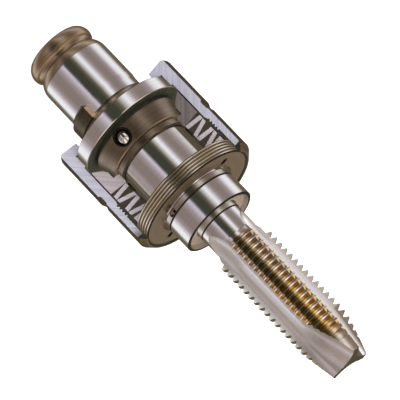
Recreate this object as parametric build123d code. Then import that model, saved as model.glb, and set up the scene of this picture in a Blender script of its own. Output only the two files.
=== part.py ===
from math import atan2, cos, degrees, floor, pi, radians, sin, sqrt
import os

from build123d import *

# Torque-limiting tapping collet with a spiral-point tap, cut open to show the clutch.
# Lengths are in mm and angles in degrees. Z runs along the axis from the drive shank
# towards the tap's point. Z = 0 is where the plain shank meets the rear of the drive lug.
# Angles round the axis are measured from -Y, the middle of the window, towards +X.

# Cutaway window
WINDOW_ANGLE = 144.0

# Gaps: between pieces that move on each other, that are fixed together, and that press
# on each other through the springs
RUN = 0.05
FIXED = 0.01
TOUCH = 0.02

# Broken edges of the turned pieces
FINE_EDGE = 0.1
EDGE = 0.3
WIDE_EDGE = 0.4

# Drive shank: knob, plain cylinder, lug and shoulder, from the rear forwards
SHANK_R = 15.0
SHANK_LENGTH = 16.1
SHANK_RELIEF = 0.3
SHANK_RELIEF_RUN = 2.5
KNOB_LENGTH = 12.7
KNOB_STEP = 0.6
KNOB_CHAMFER = 1.55
KNOB_CROWN = 3.3
KNOB_SHOULDER = 0.35
KNOB_RIM_LENGTH = 5.1
NECK_DEPTH = 1.95
RISE_LENGTH = 4.8
RISE_R = 8.0
LUG_HEIGHT = 1.7
LUG_LENGTH = 7.5
LUG_MIDDLE_ANGLE = 66.0
LUG_WIDTH = 21.0
LUG_CHAMFER = 1.2
LUG_CORNER = 1.8
SHOULDER_START_Z = 6.1
SHOULDER_LENGTH = 5.11
COLLAR_LENGTH = 6.29
COLLAR_STEP = 3.3

# Spindle and what holds its rear end
SPINDLE_R = 14.8
SPINDLE_TAIL = 10.5
PILOT_R = 9.0
PILOT_LENGTH = 29.0
PILOT_HOLE_GAP = 0.6
DRILL_POINT = 4.0
BUSH_WALL = 2.0
BUSH_REAR_SETBACK = 5.2
BUSH_FRONT_SETBACK = 6.0
SNAP_RING_SIZE = 1.1
SNAP_RING_STAND = 0.15
SNAP_RING_GAP_ANGLE = 28.0
SOCKET_FLOOR = 10.0
SOCKET_SHORTER = 0.5

# Ball cage, the front end of the drive shank
CAGE_WALL = 4.55
CAGE_TAPER = 2.0
CAGE_CONE_LENGTH = 7.5
CAGE_GROOVE_LENGTH = 1.7
CAGE_GROOVE_DEPTH = 1.1
BAND_WALL = 1.25
BAND_LENGTH = 2.9

# Clutch balls and the pockets they rest in
BALL_R = 3.0
BALL_COUNT = 3
BALL_OFFSET = 5.0
BALL_HOLE_CLEARANCE = 0.1
FIRST_BALL_ANGLE = 14.3
POCKETS_PER_BALL = 4
POCKET_DEPTH = 1.15

# Thrust ring
RAMP_ANGLE = 34.8
RAMP_OUTER_LENGTH = 1.65
RAMP_INNER_LENGTH = 1.15
THRUST_NOSE = 1.7
THRUST_STEP = 5.3
THRUST_BACK = 9.8

# Disc springs, their seat and the adjusting nut
DISC_COUNT = 4
DISC_CLEARANCE = 1.5
DISC_WIDTH = 7.9
DISC_THICKNESS = 1.7
DISC_CONE = 1.6
SEAT_THICKNESS = 2.78
NUT_LENGTH = 6.7
NUT_CLEARANCE = 1.9
NUT_PITCH = 1.3
NUT_THREAD_DEPTH = 0.65
NUT_SLOT_COUNT = 2
NUT_SLOT_ANGLE = -60.0
NUT_SLOT_RADIAL = 2.9
NUT_SLOT_LENGTH = 3.8
NUT_SLOT_WIDTH = 3.0
NUT_SLOT_DEPTH = 2.2

# Housing
DISC_SIDE_GAP = 0.4
HOUSING_WALL = 3.5
HOUSING_GROOVE_DEPTH = 0.8
HOUSING_GROOVE_LENGTH = 3.9
HOUSING_REAR_BAND = 23.0
HOUSING_GRIP_STEP = 0.4
HOUSING_CHAMFER = 2.4
HOUSING_OVERHANG = 0.6
HOUSING_PITCH = 1.5
HOUSING_THREAD_DEPTH = 0.75
HOUSING_THREAD_LENGTH = 18.7
THREAD_GAP = 0.1
LIP_LENGTH = 4.14
LIP_GAP = 0.1
REAR_BORE_LENGTH = 5.7
REAR_BORE_GAP = 0.5
REAR_BORE_STEP = 0.75
CHAMBER_STEP = 0.35

# Stop ring and its grub screw
STOP_RING_LENGTH = 2.67
STOP_RING_STEP = 1.2
STOP_SLOT_ANGLE = 41.0
STOP_SLOT_LENGTH = 4.6
STOP_SLOT_WIDTH = 1.9
STOP_SLOT_DEPTH = 1.3
GRUB_R = 0.75
GRUB_STAND = 0.3
GRUB_SLOT_WIDTH = 0.35

# Nose tube, release sleeve, sleeve spring and locking balls
NOSE_WALL = 2.85
SLEEVE_LIP = 0.6
SLEEVE_TRAVEL = 1.5
SLEEVE_LAND = 0.6
SLEEVE_WALL = 1.4
SLEEVE_HOOD = 1.9
SLEEVE_RECESS_GAP = 0.65
LOCK_BALL_R = 1.75
LOCK_BALL_COUNT = 3
LOCK_CONE_SLOPE = 0.4
SPRING_SPACE = 3.0
SPRING_WIRE_R = 0.24
SPRING_TURNS = 1.75
SLEEVE_STOP_LENGTH = 0.8
NOSE_GROOVE_DEPTH = 0.5
NOSE_RIM = 0.3

# Tap
TAP_SHANK_R = 9.6
TAP_SHANK_STAND = 2.5
TAP_NECK_RELIEF = 0.2
TAP_NECK_LENGTH = 16.1
TAP_REAR_GAP = 2.0
SQUARE = 15.0
SQUARE_LENGTH = 18.0
THREAD_R = 12.0
THREAD_PITCH = 3.0
THREAD_DEPTH = 1.84
THREAD_LENGTH = 61.5
RIDGE_FOOT = 0.4
CREST_WIDTH = 0.5
ROOT_WIDTH = 0.5
FLUTE_COUNT = 3
FIRST_LAND_ANGLE = -9.6
LAND_ANGLE = 56.0
FLUTE_BOTTOM_R = 5.6
FLUTE_RUN_OUT_R = 21.2
POINT_LENGTH = 22.5
POINT_SWING_ANGLE = 22.0
POINT_BOTTOM_R = 3.0
POINT_CUTTER_R = 9.0
POINT_RUN_IN = 0.1
CHAMFER_LENGTH = 15.3
CHAMFER_DEPTH = 2.65

# Places along the axis, from the rear forwards
COLLAR_REAR_Z = SHOULDER_START_Z + SHOULDER_LENGTH
COLLAR_FRONT_Z = COLLAR_REAR_Z + COLLAR_LENGTH
CAGE_CONE_Z = COLLAR_FRONT_Z + CAGE_GROOVE_LENGTH
BAND_Z = CAGE_CONE_Z + CAGE_CONE_LENGTH + EDGE
CAGE_FRONT_Z = BAND_Z + BAND_LENGTH
BALL_Z = COLLAR_FRONT_Z + BALL_OFFSET
SPINDLE_REAR_Z = BALL_Z - SPINDLE_TAIL
PILOT_REAR_Z = SPINDLE_REAR_Z - PILOT_LENGTH
BUSH_REAR_Z = PILOT_REAR_Z + BUSH_REAR_SETBACK
BUSH_FRONT_Z = SPINDLE_REAR_Z - BUSH_FRONT_SETBACK
SNAP_RING_Z = (BUSH_REAR_Z + PILOT_REAR_Z) / 2.0
THRUST_REAR_Z = BALL_Z - THRUST_NOSE
THRUST_STEP_Z = BALL_Z + THRUST_STEP
THRUST_FRONT_Z = BALL_Z + THRUST_BACK
DISC_HEIGHT = DISC_THICKNESS + DISC_CONE
DISC_STACK = DISC_COUNT * (DISC_HEIGHT + TOUCH) + TOUCH
SEAT_REAR_Z = THRUST_FRONT_Z + DISC_STACK
SEAT_FRONT_Z = SEAT_REAR_Z + SEAT_THICKNESS
NUT_REAR_Z = SEAT_FRONT_Z + TOUCH
NUT_FRONT_Z = NUT_REAR_Z + NUT_LENGTH
HOUSING_FRONT_Z = NUT_FRONT_Z + HOUSING_OVERHANG
LIP_FRONT_Z = COLLAR_REAR_Z - FIXED
HOUSING_REAR_Z = LIP_FRONT_Z - LIP_LENGTH
STOP_RING_FRONT_Z = NUT_FRONT_Z + FIXED + STOP_RING_LENGTH
SLEEVE_REAR_Z = STOP_RING_FRONT_Z + TOUCH
SLEEVE_LIP_Z = SLEEVE_REAR_Z + SLEEVE_LIP
LOCK_BALL_Z = SLEEVE_LIP_Z + SLEEVE_TRAVEL + LOCK_BALL_R + RUN
SLEEVE_CHAMBER_Z = LOCK_BALL_Z + SLEEVE_LAND
SLEEVE_STOP_Z = SLEEVE_CHAMBER_Z + SPRING_SPACE
NOSE_FRONT_Z = SLEEVE_STOP_Z + SLEEVE_STOP_LENGTH + NOSE_RIM
SLEEVE_FRONT_Z = NOSE_FRONT_Z + SLEEVE_HOOD
SOCKET_Z = SPINDLE_REAR_Z + SOCKET_FLOOR
TAP_REAR_Z = SOCKET_Z + TAP_REAR_GAP
THREAD_REAR_Z = NOSE_FRONT_Z + TAP_NECK_LENGTH
TAP_TIP_Z = THREAD_REAR_Z + THREAD_LENGTH
FLUTE_FULL_Z = THREAD_REAR_Z + THREAD_PITCH / 2.0

# Radii, from the axis outwards
NOSE_BORE_R = TAP_SHANK_R + RUN
NOSE_R = NOSE_BORE_R + NOSE_WALL
BUSH_R = PILOT_R + RUN + BUSH_WALL
SNAP_RING_R = PILOT_R + SNAP_RING_STAND
BALL_CENTRE_R = SPINDLE_R + BALL_R - POCKET_DEPTH
CAGE_BORE_R = SPINDLE_R + RUN
CAGE_R = CAGE_BORE_R + CAGE_WALL
BAND_R = CAGE_BORE_R + BAND_WALL
DISC_INNER_R = SPINDLE_R + DISC_CLEARANCE
DISC_OUTER_R = DISC_INNER_R + DISC_WIDTH
THRUST_RING_R = DISC_OUTER_R + DISC_SIDE_GAP
CHAMBER_R = THRUST_RING_R + RUN
THREAD_BORE_R = CHAMBER_R + CHAMBER_STEP
NUT_R = THREAD_BORE_R - THREAD_GAP
NUT_BORE_R = SPINDLE_R + NUT_CLEARANCE
NUT_SLOT_R = NUT_BORE_R + NUT_SLOT_RADIAL
HOUSING_R = THREAD_BORE_R + HOUSING_WALL
REAR_BORE_R = CHAMBER_R - REAR_BORE_STEP
COLLAR_R = REAR_BORE_R - REAR_BORE_GAP
SHOULDER_R = COLLAR_R - COLLAR_STEP
LIP_BORE_R = SHOULDER_R + LIP_GAP
STOP_RING_R = SPINDLE_R + STOP_RING_STEP
LOCK_BALL_CENTRE_R = TAP_SHANK_R + TOUCH + LOCK_BALL_R
LOCK_CONE_ANGLE = degrees(atan2(LOCK_CONE_SLOPE, 1.0))
LOCK_CONE_R = LOCK_BALL_CENTRE_R + (LOCK_BALL_R + FIXED / 2.0) / cos(radians(LOCK_CONE_ANGLE))
LOCK_LAND_R = LOCK_CONE_R - RUN * LOCK_CONE_SLOPE
LOCK_RECESS_R = LOCK_LAND_R + SLEEVE_TRAVEL * LOCK_CONE_SLOPE
SLEEVE_CHAMBER_R = LOCK_RECESS_R + SLEEVE_RECESS_GAP
SLEEVE_R = SLEEVE_CHAMBER_R + SLEEVE_WALL
SPRING_R = (LOCK_LAND_R + SLEEVE_CHAMBER_R) / 2.0

BALL_ANGLES = [FIRST_BALL_ANGLE + n * 360.0 / BALL_COUNT for n in range(BALL_COUNT)]
LOCK_BALL_ANGLES = [n * 360.0 / LOCK_BALL_COUNT for n in range(LOCK_BALL_COUNT)]
LAND_ANGLES = [FIRST_LAND_ANGLE + n * 360.0 / FLUTE_COUNT for n in range(FLUTE_COUNT)]


def turned(corners):
    """Solid of revolution from (radius, z) corners."""
    return revolve(Plane.XZ * make_face(Polyline(*corners, close=True)), Axis.Z)


def ring(inner_r, outer_r, rear_z, front_z, edge=0.0):
    """Ring or disc with its outer and inner edges broken by edge."""
    if edge == 0.0:
        return turned([(inner_r, rear_z), (outer_r, rear_z), (outer_r, front_z), (inner_r, front_z)])
    return turned([
        (inner_r + edge, rear_z),
        (outer_r - edge, rear_z),
        (outer_r, rear_z + edge),
        (outer_r, front_z - edge),
        (outer_r - edge, front_z),
        (inner_r + edge, front_z),
        (inner_r, front_z - edge),
        (inner_r, rear_z + edge),
    ])


def at_angle(shape, angle):
    """Turns a shape that was made on the +X side to an angle round the axis."""
    return Rot(0, 0, angle - 90.0) * shape


def sector(angle, radius, rear_z, front_z):
    """Slice of a cylinder, centred on +X, that reaches past the radius all over."""
    reach = radius / cos(radians(angle / 8.0))
    steps = (-0.5, -0.25, 0.0, 0.25, 0.5)
    rim = [(reach * cos(radians(angle * s)), reach * sin(radians(angle * s))) for s in steps]
    face = make_face(Polyline((0.0, 0.0), *rim, close=True))
    return Pos(0, 0, rear_z) * extrude(face, front_z - rear_z)


def opened(shape):
    """Takes the cutaway window out of a shape."""
    window = sector(WINDOW_ANGLE, HOUSING_R + 5.0, HOUSING_REAR_Z - 5.0, HOUSING_FRONT_Z + 5.0)
    return shape - at_angle(window, 0.0)


def radial_pin(radius, z, angle, inner_r, outer_r):
    """Cylinder along a radius, from inner_r out to outer_r."""
    pin = Pos((inner_r + outer_r) / 2.0, 0, z) * Cylinder(radius, outer_r - inner_r, rotation=(0, 90, 0))
    return at_angle(pin, angle)


def ball_at(radius, centre_r, z, angle):
    return at_angle(Pos(centre_r, 0, z) * Sphere(radius), angle)


def knob_curve():
    """Flowing outline of the retention knob, its neck and the rise to the cylinder, as three arcs."""
    rear_z = -SHANK_LENGTH - KNOB_LENGTH
    knob_r = SHANK_R - KNOB_STEP
    neck_r = SHANK_R - NECK_DEPTH
    rise_start_z = -SHANK_LENGTH - RISE_LENGTH
    rise_start_r = SHANK_R - RISE_R + sqrt(RISE_R ** 2 - RISE_LENGTH ** 2)
    rise_middle_r = SHANK_R - RISE_R + sqrt(RISE_R ** 2 - RISE_LENGTH ** 2 / 4.0)
    crown = ThreePointArc(
        (knob_r - KNOB_CHAMFER, rear_z),
        (knob_r, rear_z + KNOB_CROWN),
        (knob_r - KNOB_SHOULDER, rear_z + KNOB_RIM_LENGTH),
    )
    neck_middle = (neck_r, (rear_z + KNOB_RIM_LENGTH + rise_start_z) / 2.0)
    neck = ThreePointArc(crown @ 1, neck_middle, (rise_start_r, rise_start_z))
    rise_middle = (rise_middle_r, -SHANK_LENGTH - RISE_LENGTH / 2.0)
    rise = ThreePointArc(neck @ 1, rise_middle, (SHANK_R, -SHANK_LENGTH))
    return [crown, neck, rise]


def lug_block(lug_r):
    """Block with parallel flanks and cut rear corners that leaves the lug's width."""
    half = LUG_WIDTH / 2.0
    side = Polyline(
        (-half, LUG_LENGTH + 1.0),
        (-half, LUG_CORNER),
        (LUG_CORNER - half, 0.0),
        (half - LUG_CORNER, 0.0),
        (half, LUG_CORNER),
        (half, LUG_LENGTH + 1.0),
        close=True,
    )
    return extrude(Plane.YZ * make_face(side), lug_r + 1.0)


def drive_shank():
    rear_z = -SHANK_LENGTH - KNOB_LENGTH
    relief_r = SHANK_R - SHANK_RELIEF
    cage_front_r = CAGE_R - CAGE_TAPER
    front_and_inside = Polyline(
        (SHANK_R, -SHANK_LENGTH),
        (SHANK_R, 0.0),
        (relief_r, SHANK_RELIEF_RUN),
        (relief_r, SHOULDER_START_Z),
        (SHOULDER_R, COLLAR_REAR_Z - WIDE_EDGE),
        (SHOULDER_R, COLLAR_REAR_Z),
        (COLLAR_R - WIDE_EDGE, COLLAR_REAR_Z),
        (COLLAR_R, COLLAR_REAR_Z + WIDE_EDGE),
        (COLLAR_R, COLLAR_FRONT_Z - EDGE),
        (COLLAR_R - EDGE, COLLAR_FRONT_Z),
        (CAGE_R - CAGE_GROOVE_DEPTH, COLLAR_FRONT_Z),
        (CAGE_R - CAGE_GROOVE_DEPTH, CAGE_CONE_Z - EDGE),
        (CAGE_R - EDGE, CAGE_CONE_Z - EDGE),
        (CAGE_R, CAGE_CONE_Z),
        (cage_front_r, BAND_Z - EDGE),
        (cage_front_r - 0.5, BAND_Z),
        (BAND_R, BAND_Z + 0.2),
        (BAND_R, CAGE_FRONT_Z - EDGE),
        (BAND_R - EDGE, CAGE_FRONT_Z),
        (CAGE_BORE_R + 0.25, CAGE_FRONT_Z),
        (CAGE_BORE_R, CAGE_FRONT_Z - 0.25),
        (CAGE_BORE_R, SPINDLE_REAR_Z - RUN),
        (BUSH_R + FIXED, SPINDLE_REAR_Z - RUN),
        (BUSH_R + FIXED, BUSH_REAR_Z - FIXED),
        (PILOT_R + PILOT_HOLE_GAP, BUSH_REAR_Z - FIXED),
        (PILOT_R + PILOT_HOLE_GAP, PILOT_REAR_Z - 1.0),
        (0.0, PILOT_REAR_Z - DRILL_POINT),
        (0.0, rear_z),
        (SHANK_R - KNOB_STEP - KNOB_CHAMFER, rear_z),
    )
    body = revolve(Plane.XZ * make_face([*knob_curve(), front_and_inside]), Axis.Z)
    body -= snap_ring_groove()
    # One drive lug, with its rear edges broken so that it finds the chuck's slot
    lug_r = SHANK_R + LUG_HEIGHT
    lug = turned([
        (relief_r - 1.0, 0.0),
        (lug_r - LUG_CHAMFER, 0.0),
        (lug_r, LUG_CHAMFER),
        (lug_r, LUG_LENGTH - EDGE),
        (lug_r - EDGE, LUG_LENGTH),
        (relief_r - 1.0, LUG_LENGTH),
    ])
    body += lug & at_angle(lug_block(lug_r), LUG_MIDDLE_ANGLE)
    for angle in BALL_ANGLES:
        hole_r = BALL_R + BALL_HOLE_CLEARANCE
        body -= radial_pin(hole_r, BALL_Z, angle, SPINDLE_R - 2.0, CAGE_R + 2.0)
    return body


def pilot_bush():
    return ring(PILOT_R + RUN, BUSH_R, BUSH_REAR_Z, BUSH_FRONT_Z, EDGE)


def snap_ring_groove():
    half = SNAP_RING_SIZE / 2.0 + FIXED
    return ring(SNAP_RING_R - half, SNAP_RING_R + half, SNAP_RING_Z - half, SNAP_RING_Z + half)


def spindle_snap_ring():
    half = SNAP_RING_SIZE / 2.0
    whole = ring(SNAP_RING_R - half, SNAP_RING_R + half, SNAP_RING_Z - half, SNAP_RING_Z + half)
    gap = sector(SNAP_RING_GAP_ANGLE, SNAP_RING_R + 2.0, SNAP_RING_Z - 2.0, SNAP_RING_Z + 2.0)
    return whole - at_angle(gap, 180.0)


def spindle():
    bore_rear_z = TAP_REAR_Z + SQUARE_LENGTH - SOCKET_SHORTER
    body = turned([
        (0.0, PILOT_REAR_Z),
        (PILOT_R - 0.8, PILOT_REAR_Z),
        (PILOT_R, PILOT_REAR_Z + 0.8),
        (PILOT_R, SPINDLE_REAR_Z),
        (SPINDLE_R - WIDE_EDGE, SPINDLE_REAR_Z),
        (SPINDLE_R, SPINDLE_REAR_Z + WIDE_EDGE),
        (SPINDLE_R, NUT_FRONT_Z),
        (NOSE_R, NUT_FRONT_Z),
        (NOSE_R, SLEEVE_STOP_Z - FIXED),
        (NOSE_R - NOSE_GROOVE_DEPTH, SLEEVE_STOP_Z - FIXED),
        (NOSE_R - NOSE_GROOVE_DEPTH, SLEEVE_STOP_Z + SLEEVE_STOP_LENGTH + FIXED),
        (NOSE_R, SLEEVE_STOP_Z + SLEEVE_STOP_LENGTH + FIXED),
        (NOSE_R, NOSE_FRONT_Z - FINE_EDGE),
        (NOSE_R - FINE_EDGE, NOSE_FRONT_Z),
        (NOSE_BORE_R + EDGE, NOSE_FRONT_Z),
        (NOSE_BORE_R, NOSE_FRONT_Z - EDGE),
        (NOSE_BORE_R, bore_rear_z),
        (0.0, bore_rear_z),
    ])
    # Square socket that turns the tap, its corners rounded by the bore's own drill
    socket = extrude(Rectangle(SQUARE + 2.0 * RUN, SQUARE + 2.0 * RUN), bore_rear_z - SOCKET_Z + 1.0)
    drilled = ring(0.0, NOSE_BORE_R, SOCKET_Z - 1.0, bore_rear_z + 1.0)
    body -= (Pos(0, 0, SOCKET_Z) * socket) & drilled
    body -= snap_ring_groove()
    pocket_count = BALL_COUNT * POCKETS_PER_BALL
    for number in range(pocket_count):
        angle = FIRST_BALL_ANGLE + number * 360.0 / pocket_count
        body -= ball_at(BALL_R + RUN, BALL_CENTRE_R, BALL_Z, angle)
    for angle in LOCK_BALL_ANGLES:
        body -= radial_pin(LOCK_BALL_R + RUN, LOCK_BALL_Z, angle, NOSE_BORE_R - 2.0, NOSE_R + 2.0)
    return body


def thrust_ring():
    """Ring whose cone presses the balls inwards. The cone stands clear of them by the running gap."""
    slope = radians(RAMP_ANGLE)
    touch_r = BALL_CENTRE_R + (BALL_R + RUN) * cos(slope)
    touch_z = BALL_Z + (BALL_R + RUN) * sin(slope)
    ramp_rear = (touch_r + RAMP_OUTER_LENGTH * sin(slope), touch_z - RAMP_OUTER_LENGTH * cos(slope))
    ramp_front = (touch_r - RAMP_INNER_LENGTH * sin(slope), touch_z + RAMP_INNER_LENGTH * cos(slope))
    bore_r = BAND_R + RUN
    return opened(turned([
        (bore_r, THRUST_STEP_Z),
        (ramp_front[0], THRUST_STEP_Z),
        ramp_front,
        ramp_rear,
        (THRUST_RING_R - 1.4, THRUST_REAR_Z + 0.2),
        (THRUST_RING_R - 1.0, THRUST_REAR_Z),
        (THRUST_RING_R - 0.5, THRUST_REAR_Z),
        (THRUST_RING_R - 0.15, THRUST_REAR_Z + EDGE),
        (THRUST_RING_R, THRUST_REAR_Z + 0.9),
        (THRUST_RING_R, THRUST_FRONT_Z - WIDE_EDGE),
        (THRUST_RING_R - WIDE_EDGE, THRUST_FRONT_Z),
        (bore_r + EDGE, THRUST_FRONT_Z),
        (bore_r, THRUST_FRONT_Z - EDGE),
    ]))


def disc_spring(number):
    """Cone-shaped disc spring. Even ones stand on their inner edge, odd ones on their outer edge."""
    rear_z = THRUST_FRONT_Z + TOUCH + number * (DISC_HEIGHT + TOUCH)
    inner_z = rear_z if number % 2 == 0 else rear_z + DISC_CONE
    outer_z = rear_z + DISC_CONE if number % 2 == 0 else rear_z
    return opened(turned([
        (DISC_INNER_R, inner_z),
        (DISC_OUTER_R, outer_z),
        (DISC_OUTER_R, outer_z + DISC_THICKNESS),
        (DISC_INNER_R, inner_z + DISC_THICKNESS),
    ]))


def spring_seat():
    return opened(ring(DISC_INNER_R, THRUST_RING_R, SEAT_REAR_Z, SEAT_FRONT_Z, EDGE))


def adjusting_nut():
    threaded = NUT_LENGTH - 1.0
    turns = floor(threaded / NUT_PITCH)
    crests = []
    for number in range(turns):
        crest_z = NUT_REAR_Z + 0.5 + number * NUT_PITCH
        crests.append((NUT_R, crest_z))
        crests.append((NUT_R, crest_z + 0.25 * NUT_PITCH))
        crests.append((NUT_R - NUT_THREAD_DEPTH, crest_z + 0.6 * NUT_PITCH))
        crests.append((NUT_R - NUT_THREAD_DEPTH, crest_z + 0.7 * NUT_PITCH))
    crests.append((NUT_R, NUT_REAR_Z + 0.5 + turns * NUT_PITCH))
    if threaded - turns * NUT_PITCH > FIXED:
        crests.append((NUT_R, NUT_FRONT_Z - 0.5))
    body = turned(
        [(NUT_BORE_R, NUT_REAR_Z), (NUT_R - 0.5, NUT_REAR_Z)]
        + crests
        + [(NUT_R - 0.5, NUT_FRONT_Z), (NUT_BORE_R + WIDE_EDGE, NUT_FRONT_Z), (NUT_BORE_R, NUT_FRONT_Z - WIDE_EDGE)]
    )
    slot = extrude(SlotOverall(NUT_SLOT_LENGTH, NUT_SLOT_WIDTH), NUT_SLOT_DEPTH + 1.0)
    slot = Pos(NUT_SLOT_R, 0, NUT_FRONT_Z - NUT_SLOT_DEPTH) * slot
    for number in range(NUT_SLOT_COUNT):
        body -= at_angle(slot, NUT_SLOT_ANGLE + number * 360.0 / NUT_SLOT_COUNT)
    return body


def housing():
    """Sleeve that carries the springs: an inner lip behind the collar and a thread for the nut in front."""
    groove_z = HOUSING_REAR_Z + HOUSING_REAR_BAND
    grip_z = groove_z + HOUSING_GROOVE_LENGTH + 0.7
    groove_r = HOUSING_R - HOUSING_GROOVE_DEPTH
    grip_r = HOUSING_R - HOUSING_GRIP_STEP
    thread_rear_z = HOUSING_FRONT_Z - EDGE - HOUSING_THREAD_LENGTH
    outside = [
        (LIP_BORE_R + EDGE, HOUSING_REAR_Z),
        (HOUSING_R - 0.8, HOUSING_REAR_Z),
        (HOUSING_R, HOUSING_REAR_Z + 0.8),
        (HOUSING_R, groove_z),
        (groove_r, groove_z + 0.7),
        (groove_r, groove_z + HOUSING_GROOVE_LENGTH),
        (grip_r, grip_z),
        (grip_r, HOUSING_FRONT_Z - HOUSING_CHAMFER),
        (grip_r - 0.92 * HOUSING_CHAMFER, HOUSING_FRONT_Z),
    ]
    inside = [(THREAD_BORE_R + EDGE, HOUSING_FRONT_Z), (THREAD_BORE_R, HOUSING_FRONT_Z - EDGE)]
    for number in range(floor((HOUSING_THREAD_LENGTH - 2.2) / HOUSING_PITCH)):
        crest_z = HOUSING_FRONT_Z - 2.1 - number * HOUSING_PITCH
        inside.append((THREAD_BORE_R, crest_z))
        inside.append((THREAD_BORE_R + HOUSING_THREAD_DEPTH, crest_z - 0.42 * HOUSING_PITCH))
        inside.append((THREAD_BORE_R + HOUSING_THREAD_DEPTH, crest_z - 0.52 * HOUSING_PITCH))
        inside.append((THREAD_BORE_R, crest_z - 0.88 * HOUSING_PITCH))
    inside += [
        (THREAD_BORE_R, thread_rear_z),
        (CHAMBER_R, thread_rear_z - WIDE_EDGE),
        (CHAMBER_R, LIP_FRONT_Z + REAR_BORE_LENGTH + WIDE_EDGE),
        (REAR_BORE_R, LIP_FRONT_Z + REAR_BORE_LENGTH),
        (REAR_BORE_R, LIP_FRONT_Z),
        (LIP_BORE_R, LIP_FRONT_Z),
        (LIP_BORE_R, HOUSING_REAR_Z + EDGE),
    ]
    return opened(turned(outside + inside))


STOP_RING_MIDDLE_Z = STOP_RING_FRONT_Z - STOP_RING_LENGTH / 2.0


def stop_ring():
    body = ring(NOSE_R + FIXED, STOP_RING_R, STOP_RING_FRONT_Z - STOP_RING_LENGTH, STOP_RING_FRONT_Z, 0.25)
    slot = extrude(Plane.YZ * SlotOverall(STOP_SLOT_LENGTH, STOP_SLOT_WIDTH), STOP_SLOT_DEPTH + 2.0)
    slot = Pos(STOP_RING_R - STOP_SLOT_DEPTH, 0, STOP_RING_MIDDLE_Z) * slot
    body -= at_angle(slot, STOP_SLOT_ANGLE)
    body -= radial_pin(GRUB_R + FIXED, STOP_RING_MIDDLE_Z, STOP_SLOT_ANGLE, NOSE_R - 2.0, STOP_RING_R + 1.0)
    return body


def stop_ring_grub_screw():
    head_r = STOP_RING_R - STOP_SLOT_DEPTH + GRUB_STAND
    body = radial_pin(GRUB_R, STOP_RING_MIDDLE_Z, STOP_SLOT_ANGLE, NOSE_R + TOUCH, head_r)
    slot = Pos(head_r, 0, STOP_RING_MIDDLE_Z) * Box(2.0 * GRUB_STAND, 4.0 * GRUB_R, GRUB_SLOT_WIDTH)
    return body - at_angle(slot, STOP_SLOT_ANGLE)


def release_sleeve():
    """Sleeve whose inner cone holds the locking balls on the tap until it is pulled forwards."""
    cone_front_z = LOCK_BALL_Z + RUN
    cone_rear_z = cone_front_z - (LOCK_RECESS_R - LOCK_LAND_R) / LOCK_CONE_SLOPE
    return turned([
        (NOSE_R + RUN, SLEEVE_REAR_Z),
        (SLEEVE_R - WIDE_EDGE, SLEEVE_REAR_Z),
        (SLEEVE_R, SLEEVE_REAR_Z + WIDE_EDGE),
        (SLEEVE_R, SLEEVE_FRONT_Z - EDGE),
        (SLEEVE_R - EDGE, SLEEVE_FRONT_Z),
        (SLEEVE_CHAMBER_R + FINE_EDGE, SLEEVE_FRONT_Z),
        (SLEEVE_CHAMBER_R, SLEEVE_FRONT_Z - FINE_EDGE),
        (SLEEVE_CHAMBER_R, SLEEVE_CHAMBER_Z),
        (LOCK_LAND_R, SLEEVE_CHAMBER_Z),
        (LOCK_LAND_R, cone_front_z),
        (LOCK_RECESS_R, cone_rear_z),
        (LOCK_RECESS_R, SLEEVE_LIP_Z),
        (NOSE_R + RUN, SLEEVE_LIP_Z),
    ])


def sleeve_spring():
    """Coil spring between the sleeve's shoulder and the ring in the nose groove, of six-sided wire."""
    length = SPRING_SPACE - 2.0 * (SPRING_WIRE_R + TOUCH)
    path = Helix(pitch=length / SPRING_TURNS, height=length, radius=SPRING_R)
    section = Plane(origin=path @ 0, z_dir=path % 0) * RegularPolygon(SPRING_WIRE_R, 6)
    return Pos(0, 0, SLEEVE_CHAMBER_Z + SPRING_WIRE_R + TOUCH) * sweep(section, path=path)


def sleeve_stop():
    """Open ring that snaps into the nose groove. It bears the spring, and its front is flush with the nose."""
    step_z = SLEEVE_STOP_Z + SLEEVE_STOP_LENGTH
    outer_r = SLEEVE_CHAMBER_R - RUN
    body = turned([
        (NOSE_R - NOSE_GROOVE_DEPTH + RUN, SLEEVE_STOP_Z),
        (outer_r - FINE_EDGE, SLEEVE_STOP_Z),
        (outer_r, SLEEVE_STOP_Z + FINE_EDGE),
        (outer_r, NOSE_FRONT_Z - FINE_EDGE),
        (outer_r - FINE_EDGE, NOSE_FRONT_Z),
        (NOSE_R + RUN, NOSE_FRONT_Z),
        (NOSE_R + RUN, step_z),
        (NOSE_R - NOSE_GROOVE_DEPTH + RUN, step_z),
    ])
    gap = Pos(NOSE_R, 0, SLEEVE_STOP_Z) * Box(8.0, 1.6, 6.0)
    return body - at_angle(gap, 180.0)


def thread_ridge(land_angle, z):
    """One thread ridge across a land. It leans by the lead angle, so the ridges follow the helix."""
    foot_depth = THREAD_DEPTH + RIDGE_FOOT
    half_crest = CREST_WIDTH / 2.0
    half_root = (THREAD_PITCH - ROOT_WIDTH) / 2.0
    half_foot = half_crest + (half_root - half_crest) * foot_depth / THREAD_DEPTH
    lead_angle = degrees(atan2(THREAD_PITCH, 2.0 * pi * THREAD_R))
    section = Plane.XZ * make_face(Polyline(
        (THREAD_R - foot_depth, -half_foot),
        (THREAD_R, -half_crest),
        (THREAD_R, half_crest),
        (THREAD_R - foot_depth, half_foot),
        close=True,
    ))
    spread = LAND_ANGLE / 2.0 + 8.0
    ridge = revolve(Rot(0, 0, -spread) * section, Axis.Z, 2.0 * spread)
    return Pos(0, 0, z) * at_angle(Rot(lead_angle, 0, 0) * ridge, land_angle)


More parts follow.
